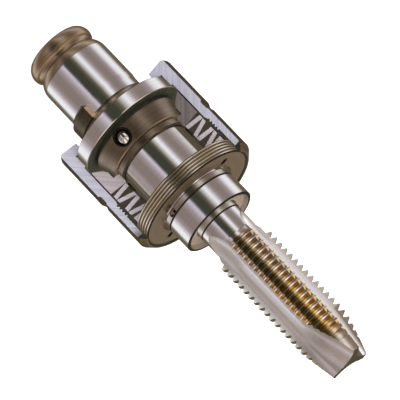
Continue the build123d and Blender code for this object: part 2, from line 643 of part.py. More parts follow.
def flute_cutter():
    """Round cutter that leaves the lands and the web, with a curved run-out at the rear."""
    half_flute = 180.0 / FLUTE_COUNT - LAND_ANGLE / 2.0
    edge_x = THREAD_R * cos(radians(half_flute))
    edge_y = THREAD_R * sin(radians(half_flute))
    centre_r = (edge_x ** 2 + edge_y ** 2 - FLUTE_BOTTOM_R ** 2) / (2.0 * (edge_x - FLUTE_BOTTOM_R))
    disc = Pos(centre_r, 0, FLUTE_FULL_Z) * Circle(centre_r - FLUTE_BOTTOM_R)
    straight = extrude(disc, TAP_TIP_Z - FLUTE_FULL_Z + 5.0)
    pivot = Axis((FLUTE_BOTTOM_R + FLUTE_RUN_OUT_R, 0, FLUTE_FULL_Z), (0, -1, 0))
    return centre_r, straight + revolve(disc, pivot, 55.0)


def point_cutter(centre_r):
    """Slanting cut of the spiral point, which throws the chips forwards. It starts just clear of
    the flute's wall, and towards the tip it grows wider, goes deeper and swings into the land."""
    swing = radians(POINT_SWING_ANGLE)
    tip_centre_r = POINT_BOTTOM_R + POINT_CUTTER_R
    start = Vector(centre_r, 0, TAP_TIP_Z - POINT_LENGTH)
    tip = Vector(tip_centre_r * cos(swing), -tip_centre_r * sin(swing), TAP_TIP_Z)
    start_r = centre_r - FLUTE_BOTTOM_R - POINT_RUN_IN
    beyond = 1.2
    end = start + (tip - start) * beyond
    end_r = start_r + (POINT_CUTTER_R - start_r) * beyond
    return loft([Pos(start) * Circle(start_r), Pos(end) * Circle(end_r)])


def tap():
    root_r = THREAD_R - THREAD_DEPTH
    shank_front_z = NOSE_FRONT_Z + TAP_SHANK_STAND
    core = turned([
        (0.0, TAP_REAR_Z),
        (TAP_SHANK_R - 1.0, TAP_REAR_Z),
        (TAP_SHANK_R, TAP_REAR_Z + 1.0),
        (TAP_SHANK_R, shank_front_z - TAP_NECK_RELIEF),
        (TAP_SHANK_R - TAP_NECK_RELIEF, shank_front_z),
        (TAP_SHANK_R - TAP_NECK_RELIEF, THREAD_REAR_Z - 4.0),
        (root_r, THREAD_REAR_Z - 2.0),
        (root_r, TAP_TIP_Z),
        (0.0, TAP_TIP_Z),
    ])
    ridges = []
    for number, land_angle in enumerate(LAND_ANGLES):
        z = THREAD_REAR_Z + number * THREAD_PITCH / FLUTE_COUNT
        while z < TAP_TIP_Z + THREAD_PITCH / 2.0:
            ridges.append(thread_ridge(land_angle, z))
            z += THREAD_PITCH
    body = core.fuse(*ridges)
    # Outside form: a short run-in behind the thread and the long chamfer at the tip
    body &= turned([
        (0.0, TAP_REAR_Z - 1.0),
        (root_r, TAP_REAR_Z - 1.0),
        (root_r, THREAD_REAR_Z - 1.9),
        (THREAD_R, THREAD_REAR_Z - 0.1),
        (THREAD_R, TAP_TIP_Z - CHAMFER_LENGTH),
        (THREAD_R - CHAMFER_DEPTH, TAP_TIP_Z),
        (0.0, TAP_TIP_Z),
    ])
    centre_r, flute = flute_cutter()
    point = point_cutter(centre_r)
    for land_angle in LAND_ANGLES:
        flute_angle = land_angle + 180.0 / FLUTE_COUNT
        body -= at_angle(flute, flute_angle)
        body -= at_angle(point, flute_angle)
    # Driving square, milled inside the shank's circle
    square = Pos(0, 0, TAP_REAR_Z) * extrude(Rectangle(SQUARE, SQUARE), SQUARE_LENGTH)
    milled = ring(0.0, TAP_SHANK_R + 3.0, TAP_REAR_Z - 1.0, TAP_REAR_Z + SQUARE_LENGTH)
    return body - (milled - square)


def save(name, shape):
    solids = shape.solids()
    assert len(solids) == 1, f"{name} has {len(solids)} solids"
    assert solids[0].is_valid, f"{name} is not valid"
    export_step(solids[0], f"parts/{name}.step")


os.makedirs("parts", exist_ok=True)

save("drive_shank", drive_shank())
save("pilot_bush", pilot_bush())
save("spindle_snap_ring", spindle_snap_ring())
save("spindle", spindle())
for number, angle in enumerate(BALL_ANGLES, 1):
    save(f"clutch_ball_{number}", ball_at(BALL_R, BALL_CENTRE_R, BALL_Z, angle))
save("thrust_ring", thrust_ring())
for number in range(DISC_COUNT):
    save(f"disc_spring_{number + 1}", disc_spring(number))
save("spring_seat", spring_seat())
save("adjusting_nut", adjusting_nut())
save("housing", housing())
save("stop_ring", stop_ring())
save("stop_ring_grub_screw", stop_ring_grub_screw())
save("release_sleeve", release_sleeve())
save("sleeve_spring", sleeve_spring())
save("sleeve_stop", sleeve_stop())
for number, angle in enumerate(LOCK_BALL_ANGLES, 1):
    save(f"lock_ball_{number}", ball_at(LOCK_BALL_R, LOCK_BALL_CENTRE_R, LOCK_BALL_Z, angle))
save("tap", tap())
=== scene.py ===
import math

import bpy
from mathutils import Matrix, Vector


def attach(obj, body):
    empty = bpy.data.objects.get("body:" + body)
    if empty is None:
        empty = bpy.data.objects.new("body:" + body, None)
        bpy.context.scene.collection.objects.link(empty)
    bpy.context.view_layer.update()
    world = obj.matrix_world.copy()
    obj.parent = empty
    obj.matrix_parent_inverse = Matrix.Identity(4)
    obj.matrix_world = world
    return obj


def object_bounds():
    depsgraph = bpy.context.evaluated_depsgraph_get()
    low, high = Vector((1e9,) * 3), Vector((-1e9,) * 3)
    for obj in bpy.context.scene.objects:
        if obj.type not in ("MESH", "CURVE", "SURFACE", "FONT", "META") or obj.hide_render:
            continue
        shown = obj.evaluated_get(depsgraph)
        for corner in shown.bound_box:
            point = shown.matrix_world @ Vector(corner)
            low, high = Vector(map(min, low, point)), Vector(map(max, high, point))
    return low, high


# Tapping collet with an overload clutch, cut open, with a spiral-point tap in its nose.
# Z runs along the axis from the drive shank to the tap's point. Angles round the axis are
# measured from -Y, the middle of the cutaway window, towards +X. The scene itself is in metres.
MM = 0.001

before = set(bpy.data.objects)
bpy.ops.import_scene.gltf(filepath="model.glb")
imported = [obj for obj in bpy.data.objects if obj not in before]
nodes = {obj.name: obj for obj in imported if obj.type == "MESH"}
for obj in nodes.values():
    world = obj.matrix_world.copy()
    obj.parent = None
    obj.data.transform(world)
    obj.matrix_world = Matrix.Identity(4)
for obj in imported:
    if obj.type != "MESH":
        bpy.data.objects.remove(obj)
cad_low, cad_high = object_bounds()
for loaded in bpy.context.selected_objects:
    loaded.select_set(False)

# Sizes in mm, and angles in degrees, that the finishes and the added pieces need
WINDOW_ANGLE = 144.0
SHANK_R = 15.0
SHANK_LENGTH = 16.1
SHOULDER_Z = 6.1
LUG_FRONT_Z = 7.5
LUG_MIDDLE_ANGLE = 66.0
LUG_HALF_WIDTH = 10.5
COLLAR_R = 23.4
COLLAR_REAR_Z = 11.2
COLLAR_FRONT_Z = 17.5
CAGE_REAR_Z = 19.2
CAGE_FRONT_Z = 29.9
CAGE_SLOPE = 14.9
BALL_Z = 22.5
BALL_ANGLES = [14.3, 134.3, 254.3]
CAGE_R_AT_BALL = 18.52
NUT_R = 24.9
NUT_FRONT_Z = 55.1
NUT_SLOT_R = 19.6
HOUSING_FRONT_Z = 55.7
THRUST_RING_R = 24.6
THRUST_CONE_R = 17.4
THRUST_STEP_Z = 27.8
DISC_INNER_R = 16.3
DISC_OUTER_R = 24.2
STOP_RING_FRONT_Z = 57.8
SLEEVE_R = 15.9
SLEEVE_WALL = 1.4
SLEEVE_FRONT_Z = 68.3
NOSE_FRONT_Z = 66.4
TAP_SHANK_FRONT_Z = 68.9
THREAD_REAR_Z = 82.5
THREAD_R = 12.0
TAP_TIP_Z = 144.0
# The lands and their teeth lie outside this radius
LAND_R = 9.2
# Half the width of the dark line of painted shade along a broken edge
DARK_LINE_HALF_WIDTH = 0.35
# The rims round the ball windows, and half the width that their bend takes in
RIM_R = 3.55
RIM_HALF_THICKNESS = 0.32
RIM_BEND_REACH = 3.97
# A limit for angles and distances that nothing reaches
FAR = 500.0


def linear(hex_colour):
    """sRGB hex value as the linear colour that nodes take."""
    parts = [int(hex_colour[start:start + 2], 16) / 255.0 for start in (1, 3, 5)]
    return tuple(p / 12.92 if p <= 0.04045 else ((p + 0.055) / 1.055) ** 2.4 for p in parts) + (1.0,)


def add(tree, kind, settings=None, inputs=None, stops=None):
    """Adds a node. Inputs are values, or other nodes' outputs, by socket name or number."""
    node = tree.nodes.new(kind)
    for name, value in (settings or {}).items():
        setattr(node, name, value)
    for name, value in (inputs or {}).items():
        if isinstance(value, bpy.types.NodeSocket):
            tree.links.new(value, node.inputs[name])
        else:
            node.inputs[name].default_value = value
    if stops:
        elements = node.color_ramp.elements
        while len(elements) < len(stops):
            elements.new(1.0)
        for element, (position, hex_colour) in zip(elements, stops):
            element.position = position
            element.color = linear(hex_colour)
    return node


def fade_in(tree, value, start, end):
    """A mask: 0 where value lies on start's side, 1 on end's side, and fading in between the two."""
    return add(
        tree,
        "ShaderNodeMapRange",
        {"interpolation_type": "SMOOTHSTEP"},
        {"Value": value, "From Min": start, "From Max": end},
    ).outputs["Result"]


# Camera

VIEW_TILT = 18.0
# The direction to the picture's right is made of these shares of the axis and of -X
AXIS_SHARE = 0.689
SIDE_SHARE = 0.7248
LOOK_AT = Vector((-0.33, 0.0, 56.4)) * MM
SEEN_WIDTH = 153.4 * MM
LENS = 350.0
SENSOR = 36.0


def make_camera():
    """Looks down the slope at the cutaway, rolled so that the tap points to the lower right."""
    tilt = math.radians(VIEW_TILT)
    forward = Vector((0.0, math.cos(tilt), -math.sin(tilt)))
    upward = Vector((0.0, math.sin(tilt), math.cos(tilt)))
    right = AXIS_SHARE * upward - SIDE_SHARE * Vector((1.0, 0.0, 0.0))
    right.normalize()
    up = (-forward).cross(right)
    data = bpy.data.cameras.new("camera")
    data.lens = LENS
    data.sensor_width = SENSOR
    camera = bpy.data.objects.new("camera", data)
    bpy.context.scene.collection.objects.link(camera)
    turn = Matrix((right, up, -forward)).transposed()
    distance = SEEN_WIDTH * LENS / SENSOR
    camera.matrix_world = Matrix.Translation(LOOK_AT - forward * distance) @ turn.to_4x4()
    data.clip_start = distance * 0.1
    data.clip_end = distance * 20.0
    bpy.context.scene.camera = camera


# Studio

# Lamps stand all round, with grey walls between them, a brown shade behind and a dark gap in front
LAMP = "#f0f4f8"
LAMP_EDGE = "#e1e0e9"
HALF_LIT = "#cfc9d9"
LIT_WALL = "#9e9497"
WALL = "#867b77"
SHADE = "#645c4c"
GAP = "#3c3e35"
# The angle round the axis and what stands there, which polished cylinders show as bands along their
# length. From one to the next the light changes evenly.
STUDIO_BANDS = [
    (-180, SHADE),
    (-137, SHADE),
    (-130, WALL),
    (-119, LAMP_EDGE),
    (-110, LAMP),
    (-98, LAMP_EDGE),
    (-86, LIT_WALL),
    (-72, WALL),
    (-57, WALL),
    (-47, LIT_WALL),
    (-38, LAMP_EDGE),
    (-33, LAMP),
    (-17, SHADE),
    (-7, GAP),
    (14, GAP),
    (20, HALF_LIT),
    (34, LIT_WALL),
    (48, WALL),
    (72, WALL),
    (87, LIT_WALL),
    (98, HALF_LIT),
    (108, LAMP),
    (123, LAMP),
    (130, LIT_WALL),
    (139, SHADE),
    (180, SHADE),
]
# Above the lamps runs a warm grey wall, and overhead hang two pale panels side by side, with a dark
# gap between them: how far a direction leans aside, from 0 to 1, and what hangs there
UPPER_WALL = "#a0958a"
PANELS = [
    (0.07, "#323d3b"),
    (0.14, "#e9dcc8"),
    (0.5, "#f4e8d6"),
    (0.7, "#8d8070"),
]
# How steeply a direction rises, from 0 for level to 1 for straight up, where the upper wall begins
# and is full, and where the panels do
WALL_BEGINS = 0.2
WALL_FULL = 0.31
PANELS_BEGIN = 0.45
PANELS_FULL = 0.7


def make_studio():
    """The pieces are lit by the lamps and panels and mirror them. The backdrop is plain white."""
    world = bpy.data.worlds.new("studio")
    bpy.context.scene.world = world
    world.use_nodes = True
    tree = world.node_tree
    tree.nodes.clear()
    direction = add(tree, "ShaderNodeTexCoord").outputs["Generated"]
    parts = add(tree, "ShaderNodeSeparateXYZ", inputs={0: direction})
    back = add(tree, "ShaderNodeMath", {"operation": "MULTIPLY"}, {0: parts.outputs["Y"], 1: -1.0})
    angle = add(
        tree,
        "ShaderNodeMath",
        {"operation": "ARCTAN2"},
        {0: parts.outputs["X"], 1: back.outputs[0]},
    )
    share = add(
        tree,
        "ShaderNodeMapRange",
        inputs={"Value": angle.outputs[0], "From Min": -math.pi, "From Max": math.pi},
    )
    stops = [(0.5 + degrees / 360.0, hex_colour) for degrees, hex_colour in STUDIO_BANDS]
    bands = add(tree, "ShaderNodeValToRGB", inputs={"Fac": share.outputs["Result"]}, stops=stops)
    aside = add(tree, "ShaderNodeMath", {"operation": "ABSOLUTE"}, {0: parts.outputs["X"]})
    panels = add(tree, "ShaderNodeValToRGB", inputs={"Fac": aside.outputs[0]}, stops=PANELS)
    wall = add(
        tree,
        "ShaderNodeMix",
        {"data_type": "RGBA"},
        {
            0: fade_in(tree, parts.outputs["Z"], PANELS_BEGIN, PANELS_FULL),
            6: linear(UPPER_WALL),
            7: panels.outputs["Color"],
        },
    )
    colour = add(
        tree,
        "ShaderNodeMix",
        {"data_type": "RGBA"},
        {
            0: fade_in(tree, parts.outputs["Z"], WALL_BEGINS, WALL_FULL),
            6: bands.outputs["Color"],
            7: wall.outputs[2],
        },
    )
    studio = add(tree, "ShaderNodeBackground", inputs={"Color": colour.outputs[2], "Strength": 1.25})
    backdrop = add(tree, "ShaderNodeBackground", inputs={"Color": linear("#ffffff"), "Strength": 1.0})
    seen = add(tree, "ShaderNodeLightPath").outputs["Is Camera Ray"]
    either = add(
        tree,
        "ShaderNodeMixShader",
        inputs={0: seen, 1: studio.outputs[0], 2: backdrop.outputs[0]},
    )
    add(tree, "ShaderNodeOutputWorld", inputs={"Surface": either.outputs[0]})


def make_key_light():
    """Soft light from above and in front, for the matt faces. The polished ones don't mirror it."""
    data = bpy.data.lights.new("key_light", "SUN")
    data.energy = 1.7
    data.angle = math.radians(50.0)
    data.color = linear("#fffaf4")[:3]
    light = bpy.data.objects.new("key_light", data)
    bpy.context.scene.collection.objects.link(light)
    towards = Vector((0.35, 0.8, -0.6))
    light.rotation_mode = "QUATERNION"
    light.rotation_quaternion = towards.to_track_quat("-Z", "Y")
    light.visible_glossy = False


def make_floor():
    """Pale and plain. The pieces don't mirror it."""
    bpy.ops.mesh.primitive_plane_add(size=12.0, location=(0.0, 0.0, cad_low.z))
    floor = bpy.context.object
    floor.name = "floor"
    material = bpy.data.materials.new("pale_floor_paint")
    material.use_nodes = True
    tree = material.node_tree
    tree.nodes.clear()
    shader = add(
        tree,
        "ShaderNodeBsdfPrincipled",
        inputs={
            "Base Color": linear("#d8d8d8"),
            "Roughness": 0.9,
            "Emission Color": linear("#ffffff"),
            "Emission Strength": 0.9,
        },
    )
    add(tree, "ShaderNodeOutputMaterial", inputs={"Surface": shader.outputs[0]})
    floor.data.materials.append(material)
    floor.visible_glossy = False
    floor.select_set(False)


# Materials

# A finish is a dictionary of the shader's sockets, with "Height" for its relief in mm. A mask is 1
# where a finish lies and 0 elsewhere.


def round_the_axis(tree):
    """The point itself, its offset and distance from the axis, its angle from the window's middle
    and its place along the axis, in mm and degrees."""
    place = add(tree, "ShaderNodeTexCoord").outputs["Object"]
    in_mm = add(tree, "ShaderNodeVectorMath", {"operation": "SCALE"}, {0: place, "Scale": 1.0 / MM})
    parts = add(tree, "ShaderNodeSeparateXYZ", inputs={0: in_mm.outputs[0]})
    flat = add(
        tree,
        "ShaderNodeVectorMath",
        {"operation": "MULTIPLY"},
        {0: in_mm.outputs[0], 1: (1.0, 1.0, 0.0)},
    )
    radius = add(tree, "ShaderNodeVectorMath", {"operation": "LENGTH"}, {0: flat.outputs[0]})
    back = add(tree, "ShaderNodeMath", {"operation": "MULTIPLY"}, {0: parts.outputs["Y"], 1: -1.0})
    angle = add(
        tree,
        "ShaderNodeMath",
        {"operation": "ARCTAN2"},
        {0: parts.outputs["X"], 1: back.outputs[0]},
    )
    degrees = add(tree, "ShaderNodeMath", {"operation": "DEGREES"}, {0: angle.outputs[0]})
    return {
        "point": in_mm.outputs[0],
        "offset": flat.outputs[0],
        "radius": radius.outputs["Value"],
        "angle": degrees.outputs[0],
        "along": parts.outputs["Z"],
    }


def tool_marks(tree, where, spacing, detail=3.0):
    """Rings that a tool or wheel leaves on a turned piece, spacing mm apart, round it and on its end
    faces."""
    rings = add(tree, "ShaderNodeCombineXYZ", inputs={"X": where["radius"], "Z": where["along"]})
    return add(
        tree,
        "ShaderNodeTexNoise",
        inputs={"Vector": rings.outputs[0], "Scale": 1.0 / spacing, "Detail": detail, "Roughness": 0.6},
    ).outputs["Fac"]


def cloudy(tree, where, size, detail=2.0):
    """Soft patches about size mm across."""
    return add(
        tree,
        "ShaderNodeTexNoise",
        inputs={"Vector": where["point"], "Scale": 1.0 / size, "Detail": detail, "Roughness": 0.55},
    ).outputs["Fac"]


def between(tree, share, low, high):
    """A number that goes from low to high as share goes from 0.3 to 0.7, where noise mostly lies."""
    return add(
        tree,
        "ShaderNodeMapRange",
        inputs={"Value": share, "From Min": 0.3, "From Max": 0.7, "To Min": low, "To Max": high},
    ).outputs["Result"]


def shades(tree, share, dark, light):
    """A colour between two hex values, by share as above."""
    stops = [(0.3, dark), (0.7, light)]
    return add(tree, "ShaderNodeValToRGB", inputs={"Fac": share}, stops=stops).outputs["Color"]


def inside(tree, value, low, high, soft=0.05):
    """1 where value lies between low and high, 0 elsewhere, with soft ends."""
    return overlap(tree, [
        fade_in(tree, value, low - soft, low + soft),
        fade_in(tree, value, high + soft, high - soft),
    ])


def overlap(tree, masks):
    """1 where every mask is 1."""
    result = masks[0]
    for mask in masks[1:]:
        result = add(tree, "ShaderNodeMath", {"operation": "MULTIPLY"}, {0: result, 1: mask}).outputs[0]
    return result


def together(tree, masks):
    """1 where any mask is 1."""
    result = masks[0]
    for mask in masks[1:]:
        result = add(tree, "ShaderNodeMath", {"operation": "MAXIMUM"}, {0: result, 1: mask}).outputs[0]
    return result


def dark_edges(tree, where, places):
    """1 at the places along the axis where a broken edge gets a dark line of painted shade."""
    return together(tree, [inside(tree, where["along"], z - DARK_LINE_HALF_WIDTH, z + DARK_LINE_HALF_WIDTH) for z in places])


def mixed(tree, mask, first, second):
    """The first finish where mask is 0 and the second where it is 1."""
    result = {}
    for name, value in first.items():
        other = second[name]
        if value == other:
            result[name] = value
        elif name == "Base Color":
            node = add(tree, "ShaderNodeMix", {"data_type": "RGBA"}, {0: mask, 6: value, 7: other})
            result[name] = node.outputs[2]
        else:
            node = add(tree, "ShaderNodeMix", inputs={0: mask, 2: value, 3: other})
            result[name] = node.outputs[0]
    return result


def ground(tree, where, dark="#dcd8d4", light="#e8e4e1", roughness=0.09, metallic=1.0):
    """Hardened steel, ground and lapped: even and bright, with hair lines round it. Wheel marks are
    about 0.05 mm apart. They are drawn at 0.5 mm, which is the finest that shows in the picture."""
    marks = tool_marks(tree, where, 0.5)
    return {
        "Base Color": shades(tree, marks, dark, light),
        "Metallic": metallic,
        "Roughness": between(tree, cloudy(tree, where, 6.0), roughness, roughness + 0.06),
        "Height": between(tree, marks, 0.0, 0.0004),
    }


def turned(tree, where, dark="#9a8164", light="#b59b7c", roughness=0.3, metallic=1.0):
    """Steel turned on a lathe and browned by tempering: a soft sheen with rings. The feed is about
    0.15 mm a turn, and its rings are drawn at 0.7 mm so that they show in the picture."""
    marks = tool_marks(tree, where, 0.7)
    patches = cloudy(tree, where, 4.0)
    return {
        "Base Color": shades(tree, marks, dark, light),
        "Metallic": metallic,
        "Roughness": between(tree, patches, roughness, roughness + 0.12),
        "Height": between(tree, marks, 0.0, 0.006),
    }


def sawn(tree, where, dark="#a9abbd", light="#c4c6d9"):
    """Fresh section face, milled and stoned: pale, matt and slightly lilac, with fine slanting
    cutter lines. They are really 0.2 mm apart and are drawn at 0.9 mm so that they show."""
    across = add(tree, "ShaderNodeMath", {"operation": "ADD"}, {0: where["radius"], 1: where["along"]})
    stretched = add(tree, "ShaderNodeMath", {"operation": "MULTIPLY"}, {0: where["along"], 1: 0.08})
    slant = add(
        tree,
        "ShaderNodeCombineXYZ",
        inputs={"X": across.outputs[0], "Y": stretched.outputs[0]},
    )
    lines = add(
        tree,
        "ShaderNodeTexNoise",
        inputs={"Vector": slant.outputs[0], "Scale": 1.0 / 0.9, "Detail": 2.0, "Roughness": 0.5},
    ).outputs["Fac"]
    return {
        "Base Color": shades(tree, lines, dark, light),
        "Metallic": 0.25,
        "Roughness": between(tree, lines, 0.42, 0.55),
        "Height": between(tree, lines, 0.0, 0.004),
    }


def blackened(tree, where, dark="#1d1913", light="#342c21", roughness=0.34):
    """Steel with a black oxide coat: dark brown where it thins, with a soft oily sheen."""
    marks = tool_marks(tree, where, 0.8)
    patches = cloudy(tree, where, 3.0)
    return {
        "Base Color": shades(tree, patches, dark, light),
        "Metallic": 0.9,
        "Roughness": between(tree, marks, roughness, roughness + 0.1),
        "Height": between(tree, marks, 0.0, 0.004),
    }


def finished(name, make_finish):
    """Material whose finish is what make_finish gives."""
    material = bpy.data.materials.new(name)
    material.use_nodes = True
    tree = material.node_tree
    tree.nodes.clear()
    where = round_the_axis(tree)
    finish = dict(make_finish(tree, where))
    height = finish.pop("Height")
    relief = add(tree, "ShaderNodeBump", inputs={"Height": height, "Strength": 1.0, "Distance": MM})
    shader = add(tree, "ShaderNodeBsdfPrincipled", inputs={**finish, "Normal": relief.outputs["Normal"]})
    add(tree, "ShaderNodeOutputMaterial", inputs={"Surface": shader.outputs["BSDF"]})
    return material


def cut_face(tree, where):
    """1 on the two faces that the cutaway leaves."""
    size = add(tree, "ShaderNodeMath", {"operation": "ABSOLUTE"}, {0: where["angle"]}).outputs[0]
    return inside(tree, size, WINDOW_ANGLE / 2.0 - 0.3, WINDOW_ANGLE / 2.0 + 0.05, 0.03)


def shank_finish(tree, where):
    """Ground where it runs in the chuck and on the collar, browned on knob, neck and cage. The lug is
    black, the collar's front face and the groove in front of it are painted near black as shade, and
    the lug's flank that faces the light carries a painted highlight."""
    along = where["along"]
    radius = where["radius"]
    plain = overlap(tree, [
        inside(tree, along, -SHANK_LENGTH - 0.6, SHOULDER_Z),
        inside(tree, radius, SHANK_R - 0.4, SHANK_R + 0.1),
    ])
    collar = overlap(tree, [
        inside(tree, along, COLLAR_REAR_Z + DARK_LINE_HALF_WIDTH, COLLAR_FRONT_Z - 0.02, 0.02),
        inside(tree, radius, COLLAR_R - 0.35, COLLAR_R + 0.6),
    ])
    lug = overlap(tree, [
        inside(tree, along, -0.5, LUG_FRONT_Z + 0.1),
        inside(tree, radius, SHANK_R + 0.15, SHANK_R + 3.0),
    ])
    flank_turn = math.radians(LUG_MIDDLE_ANGLE - 90.0)
    flank_direction = (math.sin(flank_turn), -math.cos(flank_turn), 0.0)
    aside = add(
        tree,
        "ShaderNodeVectorMath",
        {"operation": "DOT_PRODUCT"},
        {0: where["point"], 1: flank_direction},
    )
    flank = inside(tree, aside.outputs["Value"], LUG_HALF_WIDTH - 0.06, LUG_HALF_WIDTH + 1.0, 0.03)
    # The collar's front face and the groove in front of it, painted near black as shade
    groove = inside(tree, along, COLLAR_FRONT_Z - 0.1, CAGE_REAR_Z)
    # Dark lines of painted shade along the broken edges
    edges = dark_edges(tree, where, [SHOULDER_Z + 0.2, COLLAR_REAR_Z, CAGE_FRONT_Z])
    cage = inside(tree, along, CAGE_REAR_Z, FAR)
    browned = turned(tree, where, "#9a866c", "#b7a085", 0.24)
    black = blackened(tree, where, "#443c2c", "#60553f", 0.3)
    # A painted highlight on the lug's flank that faces the light
    painted_highlight_flank = turned(tree, where, "#cbb08e", "#e9d2b0", 0.24)
    result = mixed(tree, cage, browned, turned(tree, where, "#786a59", "#938471", 0.25))
    result = mixed(tree, together(tree, [plain, collar]), result, ground(tree, where))
    result = mixed(tree, together(tree, [lug, edges]), result, black)
    result = mixed(tree, overlap(tree, [lug, flank]), result, painted_highlight_flank)
    return mixed(tree, groove, result, blackened(tree, where, "#52584c", "#666c5f", 0.5))


def spindle_finish(tree, where):
    """Ground barrel, with brownish painted shade on the sides, where the springs run close by. The
    painted shade ends in a dark painted line. The front of the nose is left as turned, and browned."""
    angle = where["angle"]
    nose = inside(tree, where["along"], NOSE_FRONT_Z - DARK_LINE_HALF_WIDTH, FAR)
    # Painted shade on the sides: light from -44 degrees, deep past -57 and 46 degrees, a dark line at 58
    # to 65 either side
    light_painted_shade = inside(tree, angle, -FAR, -44.0, 4.0)
    deep_painted_shade = together(tree, [inside(tree, angle, -FAR, -57.0, 1.5), inside(tree, angle, 46.0, FAR, 5.0)])
    line = together(tree, [inside(tree, angle, -65.0, -58.0, 1.0), inside(tree, angle, 58.0, 65.0, 1.0)])
    barrel = mixed(tree, light_painted_shade, ground(tree, where), ground(tree, where, "#b9b2a8", "#c8c1b7"))
    barrel = mixed(tree, deep_painted_shade, barrel, ground(tree, where, "#968c7c", "#a89e8e", 0.14))
    barrel = mixed(tree, line, barrel, blackened(tree, where, "#4a4438", "#5c5548", 0.25))
    return mixed(tree, nose, barrel, nose_front(tree, where))


def nose_front(tree, where):
    """Turned and browned lightly, with a satin face."""
    return turned(tree, where, "#bdaca0", "#d2c3b7", 0.42, 0.25)


def sleeve_finish(tree, where):
    """Ground outside, as turned inside the hood, with dark lines of painted shade along the broken edges.
    """
    hood = inside(tree, where["radius"], 0.0, SLEEVE_R - SLEEVE_WALL + 0.05)
    edges = dark_edges(tree, where, [STOP_RING_FRONT_Z, SLEEVE_FRONT_Z])
    outside = mixed(tree, edges, ground(tree, where), blackened(tree, where))
    return mixed(tree, hood, outside, nose_front(tree, where))


def stop_ring_finish(tree, where):
    """Turned bright and tempered brown, polished by handling."""
    # Dark lines of painted shade along the broken edges at both ends
    edges = dark_edges(tree, where, [NUT_FRONT_Z, STOP_RING_FRONT_Z])
    return mixed(tree, edges, ground(tree, where, "#b0a394", "#c8bbac", 0.14), blackened(tree, where))


def nut_finish(tree, where):
    """Browned face. The thread's crests run bright on the housing and its roots stay brown. The slots
    and the thread's front edge are painted black, as painted shade."""
    along = where["along"]
    threaded = overlap(tree, [
        inside(tree, along, 0.0, NUT_FRONT_Z - 0.6),
        inside(tree, where["radius"], NUT_R - 1.0, NUT_R + 1.0),
    ])
    crest = inside(tree, where["radius"], NUT_R - 0.12, NUT_R + 1.0, 0.04)
    thread = mixed(
        tree,
        crest,
        blackened(tree, where, "#5b5142", "#726751", 0.3),
        ground(tree, where, "#c4b9a9", "#dcd1c1", 0.16),
    )
    # Painted shade: the thread's front edge and the slots are painted black
    edge = overlap(tree, [
        inside(tree, along, NUT_FRONT_Z - 0.55, NUT_FRONT_Z - 0.02),
        inside(tree, where["radius"], NUT_R - 0.6, NUT_R + 1.0),
    ])
    slots = overlap(tree, [
        inside(tree, along, 0.0, NUT_FRONT_Z - 0.15),
        inside(tree, where["radius"], NUT_SLOT_R - 2.1, NUT_SLOT_R + 2.1),
    ])
    face = turned(tree, where, "#9a8b76", "#b3a48e", 0.26)
    black = blackened(tree, where)
    return mixed(tree, together(tree, [edge, slots]), mixed(tree, threaded, face, thread), black)


def housing_finish(tree, where):
    """Black oxide outside, worn brown on the front chamfer, phosphated dark inside, pale on the
    section faces. Painted shade darkens their front ends and the edge beside the nut's thread, and
    deepens towards the front on the face on the +X side."""
    along = where["along"]
    radius = where["radius"]
    outside = blackened(tree, where, "#4a4132", "#5e5341")
    bore = blackened(tree, where, "#3c4036", "#4e5246", 0.45)
    inner = inside(tree, radius, 0.0, NUT_R + 1.3)
    rim = overlap(tree, [
        inside(tree, along, HOUSING_FRONT_Z - 2.1, FAR, 0.1),
        inside(tree, radius, NUT_R + 0.4, FAR),
    ])
    around = mixed(tree, inner, outside, bore)
    around = mixed(tree, rim, around, turned(tree, where, "#857864", "#9d8f79", 0.34))
    # Painted shade on the section face on the +X side, deepening towards the front
    painted_shade_side = overlap(tree, [
        fade_in(tree, along, HOUSING_FRONT_Z - 8.0, HOUSING_FRONT_Z - 2.7),
        inside(tree, where["angle"], 0.0, 90.0),
    ])
    # Painted shade on the section faces' front ends and beside the nut's thread
    dark_end = together(tree, [
        inside(tree, along, HOUSING_FRONT_Z - 2.9, FAR, 0.2),
        overlap(tree, [
            inside(tree, along, HOUSING_FRONT_Z - 12.0, FAR),
            inside(tree, radius, 0.0, NUT_R + 0.7),
        ]),
    ])
    section = mixed(tree, painted_shade_side, sawn(tree, where), sawn(tree, where, "#625c5d", "#867f80"))
    section = mixed(tree, dark_end, section, bore)
    return mixed(tree, cut_face(tree, where), around, section)


def spring_finish(tree, where):
    """Oiled black, pale on the section faces, with painted shade along their edges."""
    around = blackened(tree, where, "#3a3c32", "#504f42", 0.35)
    # The section faces are pale except along their edges, left black as painted shade
    clear_of_painted_shade = inside(tree, where["radius"], DISC_INNER_R + 0.3, DISC_OUTER_R - 0.3, 0.08)
    section = overlap(tree, [cut_face(tree, where), clear_of_painted_shade])
    return mixed(tree, section, around, sawn(tree, where, "#b0a9b6", "#cec7d3"))


def thrust_finish(tree, where):
    """Black, with painted shade round the edges of its section faces and on their inner part behind the
    step. The one on the +X side is stoned pale, the other is left as milled and keeps an oily film."""
    around = blackened(tree, where, "#2f2a22", "#4b4236", 0.3)
    stoned = inside(tree, where["angle"], 0.0, 90.0)
    oily = sawn(tree, where, "#625c5d", "#867f80")
    face = mixed(tree, stoned, oily, sawn(tree, where, "#a79fa8", "#c5bcc5"))
    # Pale where the section faces are clear of painted shade: off their outer edge, and near the cone only
    # in front of the step
    clear_of_painted_shade = together(tree, [
        inside(tree, where["radius"], THRUST_CONE_R + 1.5, THRUST_RING_R - 0.55, 0.1),
        overlap(tree, [
            inside(tree, where["radius"], 0.0, THRUST_RING_R - 0.55, 0.1),
            inside(tree, where["along"], THRUST_STEP_Z, FAR),
        ]),
    ])
    return mixed(tree, overlap(tree, [cut_face(tree, where), clear_of_painted_shade]), around, face)


